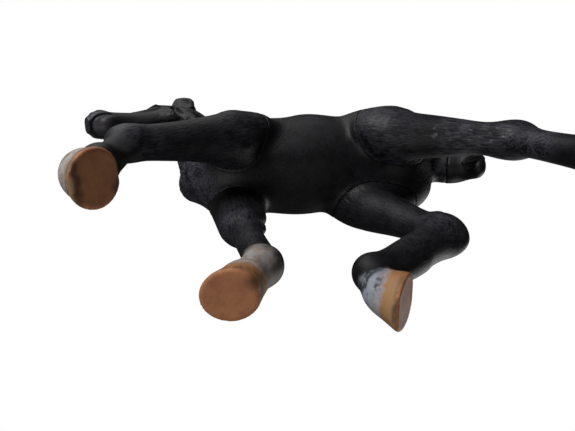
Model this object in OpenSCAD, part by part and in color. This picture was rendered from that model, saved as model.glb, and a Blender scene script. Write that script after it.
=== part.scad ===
// Standing foal figurine: seven solid mouldings, each welded into its own pocket of the trunk.
// Every leg is one chain of bones; the ground is the plane Z = 0 and the head points along +X.

/* [Body] */

// Length of the trunk from breast to buttock, in millimetres
trunk_l = 46; // [42:0.5:50]
// Width of the barrel at its widest, in millimetres
barrel_w = 16.6; // [15:0.2:18]
// Height of the elbow of the standing foreleg above the ground, in millimetres
elbow_h = 35.6; // [34.8:0.2:36.4]

/* [Front legs] */

// Length of the forearm, elbow to knee, in millimetres
forearm_l = 16; // [15.5:0.1:16.5]
// Length of the front cannon, knee to fetlock, in millimetres
front_cannon_l = 13; // [12.8:0.1:13.4]
// Forward reach of the lifted left forearm, in degrees from straight down
left_forearm_reach = 53; // [51:1:56]
// Backward bend of the left front foot at the fetlock, in degrees
left_foot_bend = 25; // [20:1:30]
// Tip of the hoof of the left front foot, in degrees from flat
left_foot_tip = 61; // [56:1:66]

/* [Hind legs] */

// Length of the hind cannon, hock to fetlock, in millimetres
hind_cannon_l = 15.6; // [15.5:0.1:16.4]
// Length of the cannon of the folded right hind leg, which is modelled shorter
folded_cannon_l = 14.7; // [14.4:0.1:15.4]
// Backward bend of the right hind foot at the fetlock, in degrees
right_hind_bend = 32; // [28:1:40]
// Tip of the hoof of the right hind foot, in degrees from flat
right_hind_tip = 58; // [50:1:62]
// Backward bend of the left hind foot at the fetlock, in degrees
left_hind_bend = 30; // [26:1:36]
// Tip of the hoof of the left hind foot, in degrees from flat
left_hind_tip = 38; // [34:1:44]

/* [Feet] */

// Height of a hoof from coronet to sole, in millimetres
hoof_h = 2.6; // [2.2:0.1:3]
// Width of a hoof across the sole, in millimetres
hoof_w = 5.5; // [5:0.1:6]

/* [Welds] */

// Gap around each moulding in its pocket, in millimetres
seat_gap = 0.1; // [0.05:0.01:0.15]

/* [Hidden] */

sides = 20;
steps = 3;

// centre of the overall length and width, so that the origin is under the middle
mid_x = 7.3;
mid_y = 0.2;

black = [0.07, 0.07, 0.08];
dark = [0.1, 0.09, 0.09];
brown = [0.13, 0.11, 0.1];

body_s = trunk_l / 46;
barrel_s = barrel_w / 16.6;

// smooth curve through the stations of a list, steps points per gap
function pick(s, i) = s[max(0, min(len(s) - 1, i))];
function blend(a, b, c, d, t) =
    0.5 * (2 * b + (c - a) * t + (2 * a - 5 * b + 4 * c - d) * t * t
        + (3 * b - a - 3 * c + d) * t * t * t);
function smooth(s, k) = [
    for (i = [0:len(s) - 2])
        for (j = [0:(i == len(s) - 2 ? k : k - 1)])
            blend(pick(s, i - 1), pick(s, i), pick(s, i + 1), pick(s, i + 2), j / k)
];
function head_of(s, n) = [for (i = [0:n - 1]) s[i]];

// skin over a list of rings that all have the same number of points
module skin(rings) {
    n = len(rings[0]);
    m = len(rings);
    points = [for (r = rings) for (p = r) p];
    walls = [for (i = [0:m - 2]) for (j = [0:n - 1])
        for (q = [0, 1])
            q == 0
                ? [i * n + j, i * n + (j + 1) % n, (i + 1) * n + j]
                : [i * n + (j + 1) % n, (i + 1) * n + (j + 1) % n, (i + 1) * n + j]];
    start = [[for (j = [0:n - 1]) n - 1 - j]];
    finish = [[for (j = [0:n - 1]) (m - 1) * n + j]];
    polyhedron(points, concat(walls, start, finish));
}

// limb station: [x, y, z, lean, half width, reach forward, reach back]
// lean is the way the limb runs, in degrees forward from straight down
function limb_ring(s, g) = [
    for (j = [0:sides - 1])
        let (t = -360 * j / sides, f = (sin(t) > 0 ? s[5] : s[6]) + g)
            [s[0] + cos(s[3]) * sin(t) * f,
             s[1] + cos(t) * (s[4] + g),
             s[2] + sin(s[3]) * sin(t) * f]
];
function limb_rings(s, g) = [for (q = s) limb_ring(q, g)];

// trunk station: [x, half width, bottom, top, height of the widest place, squareness]
function sq(v, e) = sign(v) * pow(abs(v), e);
function trunk_ring(s) = [
    for (j = [0:31])
        let (t = 360 * j / 32,
             h = sin(t) > 0 ? s[3] - s[4] : s[4] - s[2])
            [s[0] * body_s,
             sq(cos(t), s[5]) * s[1] * barrel_s,
             s[4] + sq(sin(t), s[5]) * h]
];

// the direction of a bone and the foot carried by a fetlock
function way(a) = [sin(a), 0, -cos(a)];
function turned(u, v, a) = [u * cos(a) - v * sin(a), 0, v * cos(a) + u * sin(a)];

hoof_r = hoof_w / 2;

// a foot bends back at the fetlock (first angle) and tips further at the hoof (second angle)
function coronet(a) = turned(1.9, -3.9, -a);
function sole_at(a, b) = coronet(a) + turned(0.9, -hoof_h, -b);

// how far the lowest edge of the sole lies below the fetlock
function sole_drop(a, b) = max(
    -(coronet(a) + turned(0.9 + hoof_r * 1.05, -hoof_h, -b))[2],
    -(coronet(a) + turned(0.9 - hoof_r * 0.95, -hoof_h, -b))[2]);

function foot(f, a, b, lean) = [
    concat(f + turned(-0.1, 0, -a), [(lean + 25 - a) / 2, 2.15, 2.05, 2.35]),
    concat(f + turned(1, -2.1, -a), [32 - a, 1.85, 1.9, 1.9]),
    concat(f + coronet(a), [12 - (a + b) / 2, 2.25, 2.2, 2.25]),
    concat(f + coronet(a) + turned(0.45, -hoof_h * 0.55, -b),
        [4 - b, hoof_r * 0.95, hoof_r * 0.98, hoof_r * 0.92]),
    concat(f + sole_at(a, b), [-b, hoof_r, hoof_r * 1.05, hoof_r * 0.95])
];

// ---- trunk ----

trunk = [
    [24.2, 2.2, 37.5, 43, 40, 1],
    [23.2, 4.2, 35, 46, 40, 1],
    [21, 6, 32.6, 49, 40, 0.95],
    [17, 7.1, 31, 52.4, 40.5, 0.9],
    [12, 7.7, 30.8, 54.6, 41, 0.9],
    [6, 8, 31.2, 53.4, 41.5, 0.88],
    [0, 8.1, 31.8, 51.8, 41.5, 0.88],
    [-6, 7.9, 33, 51.8, 42, 0.9],
    [-12, 7.6, 34.5, 53.2, 43, 0.92],
    [-16.5, 6.9, 36.5, 52.2, 44, 0.95],
    [-19.3, 5.2, 39, 49.6, 44.5, 1],
    [-20.6, 2.6, 41.5, 47, 44.5, 1]
];

// ---- front legs ----

function foreleg(root, elbow, knee, fetlock, a1, a2, bend, tip) =
    let (k = knee - elbow, c = fetlock - knee)
    smooth(concat([
        concat(root, [a1 * 0.2, 3.2, 5.4, 5]),
        concat((root + elbow) / 2 + [0.4, 0, 0], [a1 * 0.35, 4.6, 5.3, 5.2]),
        concat(elbow, [a1 * 0.7, 4.2, 4.1, 4.2]),
        concat(elbow + k * 0.38, [a1, 3.1, 3.3, 3.1]),
        concat(elbow + k * 0.76, [a1, 2.6, 2.5, 2.3]),
        concat(knee, [(a1 + a2) / 2, 2.45, 2.5, 2.1]),
        concat(knee + c * 0.28, [a2, 1.95, 2, 2]),
        concat(knee + c * 0.7, [a2, 1.75, 1.8, 2])
    ], foot(fetlock, bend, tip, a2)), steps);

rf_elbow = [15, -4.9, elbow_h];
rf_fetlock = [11.4, -3.5, sole_drop(0, 0) - 0.05];
rf_knee = rf_elbow + [-1.6, 0.9, -sqrt(forearm_l * forearm_l - 3.4)];
rf_lean = atan2(rf_fetlock[0] - rf_knee[0], rf_knee[2] - rf_fetlock[2]);
right_fore = foreleg([15.5, -3.6, 44], rf_elbow, rf_knee, rf_fetlock, -6, rf_lean, 0, 0);

lf_elbow = [15, 5.9, elbow_h - 4.09];
lf_knee = lf_elbow + way(left_forearm_reach) * forearm_l + [0, 1.4, 0];
lf_fetlock_h = sole_drop(left_foot_bend, left_foot_tip);
lf_lean = -acos(min(1, (lf_knee[2] - lf_fetlock_h) / front_cannon_l));
lf_fetlock = [lf_knee[0] + front_cannon_l * sin(lf_lean), lf_knee[1], lf_fetlock_h];
left_fore = foreleg([15.6, 4, 42], lf_elbow, lf_knee, lf_fetlock, left_forearm_reach,
    lf_lean, left_foot_bend, left_foot_tip);

// ---- hind legs ----

function hindleg(root, thigh, stifle, hock, fetlock, a0, a1, a2, bend, tip) =
    let (g = hock - stifle, c = fetlock - hock)
    smooth(concat([
        concat(root, [a0 * 0.4, 3.2, 5.4, 5]),
        concat(thigh, [a0, 4.2, 5.8, 5.6]),
        concat(stifle, [(a0 + a1) / 2, 3.9, 4.4, 4.6]),
        concat(stifle + g * 0.42, [a1, 3.1, 3.1, 3.2]),
        concat(stifle + g * 0.78, [a1, 2.4, 2.3, 2.7]),
        concat(hock, [(a1 + a2) / 2, 2.8, 2.1, 3]),
        concat(hock + c * 0.28, [a2, 2.1, 2.1, 2.3]),
        concat(hock + c * 0.68, [a2, 2.05, 2, 2.1])
    ], foot(fetlock, bend, tip, a2)), steps);

rh_hock = [-12.2, -5.5, 17.8];
rh_fetlock_h = sole_drop(right_hind_bend, right_hind_tip);
rh_lean = acos(min(1, (rh_hock[2] - rh_fetlock_h) / folded_cannon_l));
rh_fetlock = [rh_hock[0] + folded_cannon_l * sin(rh_lean), -6.4, rh_fetlock_h];
right_hind = hindleg([-11.5, -4, 45], [-8.8, -5.1, 39.5], [-5.9, -6, 33.6], rh_hock, rh_fetlock,
    8, -26, rh_lean, right_hind_bend, right_hind_tip);

lh_hock = [-24.6, 5.3, 24.5];
lh_fetlock_h = sole_drop(left_hind_bend, left_hind_tip);
lh_lean = -acos(min(1, (lh_hock[2] - lh_fetlock_h) / hind_cannon_l));
lh_fetlock = [lh_hock[0] + hind_cannon_l * sin(lh_lean), 6, lh_fetlock_h];
left_hind = hindleg([-13, 4, 45], [-11.5, 5, 38.5], [-9.6, 5.4, 32.4], lh_hock, lh_fetlock,
    -6, -62, lh_lean, left_hind_bend, left_hind_tip);

// ---- neck, head and tail, all with limb stations that run upward or outward ----

neck = smooth([
    [13.5, 0, 43.5, 142, 5.6, 7.6, 7.6],
    [17, 0.2, 48.5, 148, 5, 7.1, 7.1],
    [20.2, 1.5, 54.5, 152, 4.2, 5.8, 5.9],
    [22.8, 3.1, 60, 155, 3.5, 4.7, 4.6],
    [24.4, 4.5, 64, 155, 2.9, 3.7, 3.3],
    [24.8, 4.8, 65.6, 155, 1.8, 2.2, 2]
], steps);

skull = smooth([
    [22.6, 5, 65.4, 50, 1.5, 1.2, 1.6],
    [24.4, 5.2, 64.6, 50, 2.8, 2.7, 3.8],
    [27.6, 5.5, 62.2, 48, 3.5, 3.4, 5.2],
    [31, 5.8, 59.6, 46, 3, 3, 4.4],
    [34.4, 6.1, 57, 46, 2.3, 2.5, 3.2],
    [37.6, 6.2, 54.4, 46, 2.6, 2.4, 2.8],
    [40, 6.4, 52.4, 46, 2.7, 2.2, 2.8],
    [41.5, 6.5, 51.2, 46, 1.8, 1.4, 1.8]
], steps);

function ear(side) = smooth([
    [26.1, 5 + side * 1.8, 65.4, 178, 1, 1.4, 1.4],
    [26.4, 5 + side * 2.9, 67.2, 178, 1.1, 2.2, 2.2],
    [26.6, 5 + side * 4, 69.4, 178, 0.9, 2, 2],
    [26.7, 5 + side * 4.8, 71.6, 178, 0.4, 0.7, 0.7]
], steps);

tail_hair = smooth([
    [-18.6, 0, 47.6, -75, 1.5, 1.4, 1.4],
    [-21.4, -0.1, 47.2, -68, 2, 1.6, 1.7],
    [-23.6, -0.3, 44.8, -35, 2.7, 1.9, 2.2],
    [-24.4, -0.5, 40.8, -8, 3.3, 2.2, 2.4],
    [-24.4, -0.6, 36.6, 3, 3.2, 2.1, 2.3],
    [-23.8, -0.6, 33, 12, 2, 1.4, 1.5],
    [-23.4, -0.6, 31.6, 12, 0.7, 0.6, 0.6]
], steps);

// ---- weld plane of the neck ----

// the neck meets the trunk on one sloping plane; grow moves that plane forward
module front_of_weld(grow) {
    translate([11 * body_s, 0, 55])
        rotate([0, 43, 0])
            translate([-40, -20, grow])
                cube([80, 40, 40]);
}

// ---- the seven mouldings ----

module torso() {
    color(black)
        difference() {
            skin([for (s = smooth(trunk, 3)) trunk_ring(s)]);
            front_of_weld(0);
            skin(limb_rings(head_of(left_fore, 13), seat_gap));
            skin(limb_rings(head_of(right_fore, 13), seat_gap));
            skin(limb_rings(head_of(left_hind, 13), seat_gap));
            skin(limb_rings(head_of(right_hind, 13), seat_gap));
            skin(limb_rings(head_of(tail_hair, 9), seat_gap));
        }
}

module head_and_neck() {
    color(black) {
        difference() {
            skin(limb_rings(neck, 0));
            mirror([0, 0, 1])
                front_of_weld(0);
        }
        skin(limb_rings(skull, 0));
        skin(limb_rings(ear(1), 0));
        skin(limb_rings(ear(-1), 0));
    }
}

module left_foreleg() {
    color(black)
        skin(limb_rings(left_fore, 0));
}

// the standing hoof is trimmed to the ground plane, so its sole is one true flat face
module right_foreleg() {
    color(black)
        difference() {
            skin(limb_rings(right_fore, 0));
            translate([-10, -20, -10])
                cube([50, 40, 10]);
        }
}

module left_hind_leg() {
    color(dark)
        skin(limb_rings(left_hind, 0));
}

module right_hind_leg() {
    color(dark)
        skin(limb_rings(right_hind, 0));
}

module tail() {
    color(brown)
        skin(limb_rings(tail_hair, 0));
}

translate([-mid_x, -mid_y, 0]) {
    torso();
    head_and_neck();
    left_foreleg();
    right_foreleg();
    left_hind_leg();
    right_hind_leg();
    tail();
}
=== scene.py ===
# %% [markdown]
# # A toy foal in satin black plastic
# The real thing is a small solid figurine, moulded in black plastic in a few pieces that are welded
# together, and then painted by hand and by airbrush. The CAD frame holds its seven mouldings as plain
# lofts. Here they become the finished animal: muscles, face, hooves, hair and paint.

# %% Load the frame
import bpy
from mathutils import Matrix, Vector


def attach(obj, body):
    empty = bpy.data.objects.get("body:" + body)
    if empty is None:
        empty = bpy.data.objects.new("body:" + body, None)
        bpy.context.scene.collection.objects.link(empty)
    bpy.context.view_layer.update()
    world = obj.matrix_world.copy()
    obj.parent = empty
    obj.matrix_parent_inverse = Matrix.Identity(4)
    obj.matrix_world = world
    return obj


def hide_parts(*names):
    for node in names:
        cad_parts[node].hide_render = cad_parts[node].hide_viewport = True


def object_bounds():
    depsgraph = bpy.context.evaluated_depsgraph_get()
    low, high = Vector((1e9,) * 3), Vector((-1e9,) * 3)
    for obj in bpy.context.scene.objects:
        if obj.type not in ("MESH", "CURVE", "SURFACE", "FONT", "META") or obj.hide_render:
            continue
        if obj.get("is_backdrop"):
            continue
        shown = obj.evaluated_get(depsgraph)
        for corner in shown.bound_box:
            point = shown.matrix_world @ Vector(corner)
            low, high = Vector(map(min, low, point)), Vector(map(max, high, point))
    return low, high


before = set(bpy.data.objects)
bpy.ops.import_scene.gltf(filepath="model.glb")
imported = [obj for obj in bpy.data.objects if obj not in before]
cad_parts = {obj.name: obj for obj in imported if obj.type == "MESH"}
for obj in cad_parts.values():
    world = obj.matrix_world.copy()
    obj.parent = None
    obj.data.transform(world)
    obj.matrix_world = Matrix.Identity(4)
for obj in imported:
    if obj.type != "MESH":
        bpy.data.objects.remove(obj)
cad_box = [list(corner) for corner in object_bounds()]

import math
import time

import bpy
import numpy as np
import openvdb

started = time.time()
print("CAD box in metres:", cad_box)

# %% [markdown]
# All sizes below are in figurine millimetres, as a sculptor would give them. One such millimetre is
# taken from the overall height of the frame, so the sculpture follows the frame if that ever changes.

# %% Sizes and landmarks
HEIGHT_MM = 71.6
MM = (cad_box[1][2] - cad_box[0][2]) / HEIGHT_MM
HOOF_HEIGHT = 2.6
HOOF_SET_BACK = 0.9  # how far the top of a hoof lies behind its sole
LEGS = ("left_foreleg", "right_foreleg", "left_hind_leg", "right_hind_leg")
NODES = sorted(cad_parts)
X, Y, Z = np.eye(3)


def unit(v):
    v = np.asarray(v, float)
    return v / np.linalg.norm(v)


def between(a, b, t):
    return a + (b - a) * t


def node_mesh(name):
    """Points in millimetres and triangles of one CAD moulding."""
    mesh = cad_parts[name].data
    co = np.empty(len(mesh.vertices) * 3)
    mesh.vertices.foreach_get("co", co)
    mesh.calc_loop_triangles()
    tri = np.empty(len(mesh.loop_triangles) * 3, np.int32)
    mesh.loop_triangles.foreach_get("vertices", tri)
    return co.reshape(-1, 3) / MM, tri.reshape(-1, 3)


MESH = {name: node_mesh(name) for name in NODES}
BOX = {name: (co.min(0), co.max(0)) for name, (co, tri) in MESH.items()}


def spot(name, fx, fy, fz):
    """A point given by fractions of a moulding's box."""
    low, high = BOX[name]
    return low + (high - low) * np.array((fx, fy, fz))


def cut_centre(name, height):
    """Middle of the level cut through a moulding, at a fraction of the overall height."""
    co, tri = MESH[name]
    z = height * HEIGHT_MM
    corners = co[tri]
    hits = []
    for i, j in ((0, 1), (1, 2), (2, 0)):
        a, b = corners[:, i], corners[:, j]
        crossing = (a[:, 2] < z) != (b[:, 2] < z)
        a, b = a[crossing], b[crossing]
        hits.append(a + (b - a) * ((z - a[:, 2]) / (b[:, 2] - a[:, 2]))[:, None])
    hits = np.concatenate(hits)
    return (hits.min(0) + hits.max(0)) / 2


def sole_of(name):
    """Centre and outward direction of the flat sole, the largest flat patch near the ground."""
    co, tri = MESH[name]
    corners = co[tri]
    cross = np.cross(corners[:, 1] - corners[:, 0], corners[:, 2] - corners[:, 0])
    area = np.linalg.norm(cross, axis=1) / 2
    near_ground = corners[:, :, 2].mean(1) < 0.15 * HEIGHT_MM
    low = near_ground & (area > 1e-6)
    corners, cross, area = corners[low], cross[low], area[low]
    normal = cross / (2 * area)[:, None]
    offset = np.einsum("ij,ij->i", normal, corners[:, 0])
    # triangles of one plane, to about 3 degrees and a fifth of a millimetre, are one patch
    plane = np.round(np.c_[normal * 20, offset * 5])
    member = np.unique(plane, axis=0, return_inverse=True)[1].ravel()
    mine = member == np.bincount(member, area).argmax()
    centre = (corners[mine].mean(1) * area[mine, None]).sum(0) / area[mine].sum()
    return centre, unit(normal[mine].mean(0))


# heights of elbow or stifle, knee or hock, and fetlock, as fractions of the overall height
JOINT_HEIGHTS = {
    "left_foreleg": (0.435, 0.3056, 0.1244),
    "right_foreleg": (0.495, 0.275, 0.09),
    "left_hind_leg": (0.452, 0.342, 0.1217),
    "right_hind_leg": (0.468, 0.2486, 0.1243),
}
LEG = {}
for name in LEGS:
    upper, middle, lower = (cut_centre(name, h) for h in JOINT_HEIGHTS[name])
    sole, out = sole_of(name)
    ahead = unit(X - np.dot(X, out) * out)
    LEG[name] = {
        "upper": upper, "middle": middle, "fetlock": lower, "sole": sole,
        "up": -out, "ahead": ahead, "side": np.cross(-out, ahead),
        "coronet": sole - out * HOOF_HEIGHT - ahead * HOOF_SET_BACK,
        "outward": 1 if name.startswith("left") else -1,
        "hind": "hind" in name,
    }
    print(name, "joints (mm):", *(np.round(p, 1) for p in (upper, middle, lower, sole)),
          "sole faces", np.round(out, 2))

# %% [markdown]
# Organic shapes that run into each other are easiest to sculpt as a field of distances: every point of
# space knows how far it is from the skin. Muscles and bones are then added with a soft blend, hollows
# are cut with a soft blend, and the skin is drawn once, at the end, where the distance is zero.

# %% A block of space to sculpt in
FAR = 4.0  # distances stop at this many millimetres


class Field:
    """Distances in millimetres to the skin, on a regular grid."""

    def __init__(self, low, high, step):
        self.step = step
        self.first = np.floor(np.asarray(low) / step).astype(int)
        self.count = np.ceil(np.asarray(high) / step).astype(int) - self.first + 1
        self.values = np.full(self.count, FAR, np.float32)

    def window(self, low, high):
        """The part of the grid between two corners: its slices, and its X, Y and Z."""
        a = np.clip(np.floor(np.asarray(low) / self.step).astype(int) - self.first, 0, self.count)
        b = np.clip(np.ceil(np.asarray(high) / self.step).astype(int) - self.first + 1, 0, self.count)
        axes = [((np.arange(i, j) + f) * self.step).astype(np.float32)
                for i, j, f in zip(a, b, self.first)]
        return tuple(slice(i, j) for i, j in zip(a, b)), np.meshgrid(*axes, indexing="ij", sparse=True)

    def moulding(self, name):
        """Distance to one CAD moulding, level with this grid."""
        co, tri = MESH[name]
        grid = openvdb.FloatGrid.createLevelSetFromPolygons(
            co.astype(np.float32), triangles=tri.astype(np.uint32),
            transform=openvdb.createLinearTransform(self.step), halfWidth=FAR / self.step)
        out = np.empty(self.count, np.float32)
        grid.copyToArray(out, ijk=tuple(int(i) for i in self.first))
        return out


def soft_min(a, b, blend):
    h = np.maximum(blend - np.abs(a - b), 0) / blend
    return np.minimum(a, b) - h * h * blend / 4


def soft_max(a, b, blend):
    return -soft_min(-a, -b, blend)


# %% Shapes to add or cut
def blob(centre, radii, axes=(X, Y, Z)):
    """An egg shape; axes are the directions of its three radii."""
    radii = np.asarray(radii, float)
    axes = np.array([unit(a) for a in axes])
    reach = np.sqrt(((axes * radii[:, None]) ** 2).sum(0))

    def distance(x, y, z):
        p = [x - centre[0], y - centre[1], z - centre[2]]
        q = [p[0] * a[0] + p[1] * a[1] + p[2] * a[2] for a in axes]
        near = np.sqrt(sum((c / r) ** 2 for c, r in zip(q, radii)))
        grade = np.sqrt(sum((c / (r * r)) ** 2 for c, r in zip(q, radii))) + 1e-6
        return near * (near - 1) / grade

    return centre - reach, centre + reach, distance


def rod(a, b, ra, rb):
    """A bone or cord that tapers from radius ra at a to rb at b."""
    a, b = np.asarray(a, float), np.asarray(b, float)
    run = b - a
    size = max(ra, rb)

    def distance(x, y, z):
        p = [x - a[0], y - a[1], z - a[2]]
        t = np.clip((p[0] * run[0] + p[1] * run[1] + p[2] * run[2]) / (run @ run), 0, 1)
        return np.sqrt(sum((c - t * r) ** 2 for c, r in zip(p, run))) - (ra + (rb - ra) * t)

    return np.minimum(a, b) - size, np.maximum(a, b) + size, distance


def loft(start, end, wide, stations):
    """A rounded body from start to end. A station is (place from 0 to 1, half width, height above
    the axis, depth below it)."""
    start, end = np.asarray(start, float), np.asarray(end, float)
    length = np.linalg.norm(end - start)
    ax = unit(end - start)
    ay = unit(wide - np.dot(wide, ax) * ax)
    az = np.cross(ax, ay)
    place, *sizes = np.array(stations, float).T
    # a short bell-shaped window eases the sizes, so that the stations don't show as steps
    fine = np.linspace(0, 1, 201)
    ease = [np.convolve(np.pad(np.interp(fine, place, s), 8, "edge"), np.hanning(17) / 8, "valid")
            for s in sizes]
    size = max(s.max() for s in sizes)

    def distance(x, y, z):
        p = [x - start[0], y - start[1], z - start[2]]
        t = (p[0] * ax[0] + p[1] * ax[1] + p[2] * ax[2]) / length
        v = p[0] * ay[0] + p[1] * ay[1] + p[2] * ay[2]
        w = p[0] * az[0] + p[1] * az[1] + p[2] * az[2]
        half, above, below = (np.interp(t, fine, s) for s in ease)
        tall = np.where(w > 0, above, below)
        side = (np.sqrt((v / half) ** 2 + (w / tall) ** 2) - 1) * np.minimum(half, tall)
        return np.maximum(side, np.maximum(-t, t - 1) * length)

    return np.minimum(start, end) - size, np.maximum(start, end) + size, distance


RECIPE = []


def add(shape, blend):
    RECIPE.append((soft_min, 1, shape, blend))


def cut(shape, blend):
    RECIPE.append((soft_max, -1, shape, blend))


def polish(softness):
    """Rubs down everything so far; softness is in millimetres."""
    RECIPE.append((None, 0, None, softness))


# %% [markdown]
# The trunk of a foal is narrow, with a deep chest, a tucked-up flank and a round croup. The muscles that
# show through the skin are laid on as egg shapes, at fractions of the trunk's own box.

# %% Trunk muscles
def trunk(fx, fy, fz):
    """fx runs from buttock to breast, fy from right (-1) to left (1), fz from belly to withers."""
    return spot("torso", fx, 0.5 + fy / 2, fz)


add(blob(trunk(0.74, 0, 0.9), (6, 1.7, 2.6)), 2)
add(blob(trunk(0.45, 0, 0.76), (7.5, 3.6, 2.9)), 2.6)
for s in (-1, 1):
    add(blob(trunk(0.95, 0.36 * s, 0.4), (2.6, 2.6, 3.8)), 1.2)
    add(blob(trunk(0.86, 0.7 * s, 0.62), (2.6, 1.5, 5.4), ((1, 0, -0.5), Y, (0.5, 0, 1))), 1.4)
    add(blob(trunk(0.76, 0.78 * s, 0.55), (3.4, 1.5, 4.4)), 1.6)
    add(blob(trunk(0.23, 0.42 * s, 0.75), (6.6, 3.4, 3.3)), 2.2)
    add(blob(trunk(0.08, 0.42 * s, 0.62), (2.4, 2.6, 4.6)), 1.4)
    cut(blob(trunk(0.38, 1.08 * s, 0.62), (3.2, 1.3, 4.4)), 2.4)
    cut(blob(trunk(0.62, 1.12 * s, 0.66), (2.2, 1.1, 4.4)), 2.2)
# the groin, where the hind legs run into the trunk, and the belly, fuller on the right
add(blob(trunk(0.185, -0.46, 0.27), (5.1, 4.4, 5)), 2.6)
add(blob(trunk(0.17, 0.2, 0.3), (4, 3.4, 4.6)), 2.6)
add(blob(trunk(0.56, -0.62, 0.3), (5, 2.4, 3.6)), 2)
# the grooves down the breast and along the croup
cut(blob(trunk(1.02, 0, 0.42), (1.6, 0.5, 4)), 1)
cut(blob(trunk(0.22, 0, 0.99), (6, 0.7, 0.7)), 1.2)
print(len(RECIPE), "shapes on the trunk")

# %% [markdown]
# A leg is bones close under the skin: a muscled forearm or gaskin, then the knee or hock, a thin cannon
# with the tendon behind it, the round fetlock and the pastern. Every shape is placed along its bone, with
# front meaning the side of the bone that faces the head.

# %% Leg muscles, joints and tendons
def bone(a, b):
    """Front, left and along directions of the bone from a to b, and a function that gives a place on
    it: a fraction of its length, then millimetres forward and to the left."""
    along = unit(b - a)
    front = unit(np.cross(along, Y))

    def at(t, forward=0.0, left=0.0):
        return between(a, b, t) + front * forward + Y * left

    return (front, Y, along), at


def hind_muscles(leg):
    s = leg["outward"]
    swell = 0.4 if s > 0 else 0
    axes, at = bone(leg["upper"], leg["middle"])
    shin = unit(leg["fetlock"] - leg["middle"])
    add(blob(at(-0.18, 1.2, 0.6 * s + swell), (3.6, 2.6, 4.6), axes), 1.6)
    add(blob(at(-0.3, -2, s + swell), (3.4, 2.4, 5.6), axes), 1.6)
    add(rod(at(0.05, 1.2, 2 * swell), at(0.78, 0.9, 2.4 * swell), 2.2, 1.3), 1)
    add(rod(at(0, -1.5, 2 * swell), at(0.6, -1.6, 2.4 * swell), 2.4, 1.3), 1)
    heel = at(1, -1.9) - axes[2] * 0.3
    add(rod(at(0.5, -1.8), heel, 0.95, 0.85), 0.8)
    add(blob(heel + axes[2] * 0.2, (1.3, 1.35, 1.7), axes), 0.8)
    add(blob(at(1, 0.2), (2.1, 2.45, 2.6), (axes[0], Y, axes[2] + shin)), 1.6)


def fore_muscles(leg):
    """The straight right foreleg carries the weight, so its forearm is fuller than the lifted one."""
    s = leg["outward"]
    swell, forward, full = (0.8, 0.8, 0) if s > 0 else (0, -0.6, 0.95)
    rear = full * 0.45
    axes, at = bone(leg["upper"], leg["middle"])
    shin = unit(leg["fetlock"] - leg["middle"])
    add(blob(at(-0.32, forward, 0.7 * s + swell), (4, 2.5, 4.8), axes), 1.6)
    add(blob(at(-0.12, -2.9), (1.5, 1.6, 2.4), axes), 1)
    add(rod(at(0.08, 1.5), at(0.72 + 0.25 * full, 0.9 + 0.3 * full), 2 + full, 1.1 + full), 1)
    add(rod(at(0.08, -1.4 - rear), at(0.7, -1.1 - full), 2.1 + rear, 1.2 + rear), 1)
    add(rod(at(0.1, 0, 1.4 * s), at(0.6, 0, s), 1.7, 1), 0.9)
    add(blob(at(1, 0.35), (2.05, 2.4, 2.5), (axes[0], Y, axes[2] + shin)), 0.9)
    add(blob(at(1, -1.9 - full * 0.5) + axes[2] * 0.4, (0.8, 0.9, 1.2), axes), 0.6)


def shin_and_pastern(leg):
    low, coronet = leg["fetlock"], leg["coronet"]
    axes, at = bone(leg["middle"], low)
    add(rod(at(0.1, 0.35), at(0.92, 0.3), 1.5, 1.45), 0.7)
    add(rod(at(0.14, -1.05), at(0.92, -1.15), 0.85, 0.9), 0.35)
    add(blob(at(1, 0.2), (1.9, 2.05, 2.1), axes), 0.8)
    for s in (-1, 1):
        add(blob(at(1, -0.95, 0.75 * s), (0.9, 0.9, 1.2), axes), 0.5)
    add(rod(at(1, 0.2), coronet + leg["up"] * 0.3, 1.8, 1.95), 0.9)
    add(rod(at(1, -1.4), at(1, -1.5) + axes[2] * 1.2, 0.5, 0.18), 0.5)


for name in LEGS:
    leg = LEG[name]
    (hind_muscles if leg["hind"] else fore_muscles)(leg)
    shin_and_pastern(leg)
    axes, at = bone(leg["middle"], leg["fetlock"])
    if name == "left_foreleg":
        cut(blob(at(1, -4.1), (2.9, 4, 3.6), axes), 0.9)
    if name == "right_hind_leg":
        # folded under the trunk, with a thick cannon and a chestnut inside the hock
        add(rod(at(0, 0, -0.3), at(0.6, 0, -0.6), 2.5, 2.1), 1.2)
        add(rod(at(0.5, -0.8, -0.7), at(1, -0.9, -0.4), 1.6, 1.6), 1)
        add(blob(at(1, 0.9, 0.2), (1.7, 1.9, 2.1), axes), 1)
        add(blob(at(0) + (-0.3, 2, 2.3), (0.9, 0.7, 0.8)), 0.4)
    add(blob(leg["coronet"] + leg["up"] * 0.2, (2.3, 2.26, 0.6), (leg["ahead"], leg["side"], leg["up"])), 0.8)
print(len(RECIPE), "shapes on trunk and legs")

# %% [markdown]
# The hoof is a short cone, wider at the ground, with a crisp rim round a sole that is hollowed a little.
# It is built as a cone cut by two planes, with its edges eased as the paint and the mould leave them.

# %% Hooves
# half length and half width of a hoof, at the sole and at the top
HOOF_SOLE = (2.9, 2.74)
HOOF_TOP = (2.3, 2.26)
DISH = 0.12  # depth of the hollow in the sole
CLEFT = 0.7  # half width of the cleft in the heel
TOE_OUT = 0.22
# the hooves that the hand-finished master has larger, or longer in the toe
HOOF_SIZE = {"left_foreleg": 1.03, "right_hind_leg": 1.08}
HOOF_TOE = {"right_hind_leg": 0.6}


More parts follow.
